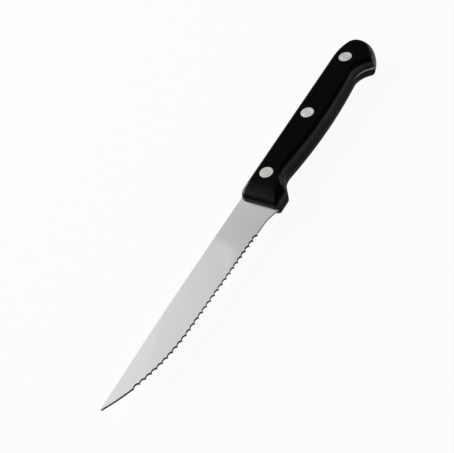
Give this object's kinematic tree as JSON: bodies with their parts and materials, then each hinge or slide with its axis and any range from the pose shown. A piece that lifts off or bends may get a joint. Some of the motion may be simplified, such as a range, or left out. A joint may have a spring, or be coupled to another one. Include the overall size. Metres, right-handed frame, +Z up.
{
  "type": "steak knife",
  "caption": "Steak knife with a serrated, pointed blade, a full tang and black handle scales with a finger guard and a hooked pommel, held by flush round rivets.",
  "frame": {"origin": "centre of the bottom of the bounding box, in the plane of the right scale's flat outer face, on which the knife lies", "axes": "+X from the tip to the butt, +Y from the cutting edge to the spine, +Z up, out of the left side of the knife"},
  "size_m": [0.2109, 0.02, 0.0116],
  "materials": {
    "blade_steel": "satin, finely ground",
    "handle_plastic": "black, moulded, semi-gloss",
    "rivet_metal": "turned, ground flush with the scales"
  },
  "bodies": {
    "root": {"blade_and_tang": "blade_steel", "left_handle_scale": "handle_plastic", "right_handle_scale": "handle_plastic", "front_rivet_pin": "rivet_metal", "front_rivet_sleeve": "rivet_metal", "middle_rivet_pin": "rivet_metal", "middle_rivet_sleeve": "rivet_metal", "rear_rivet_pin": "rivet_metal", "rear_rivet_sleeve": "rivet_metal"}
  },
  "joints": []
}
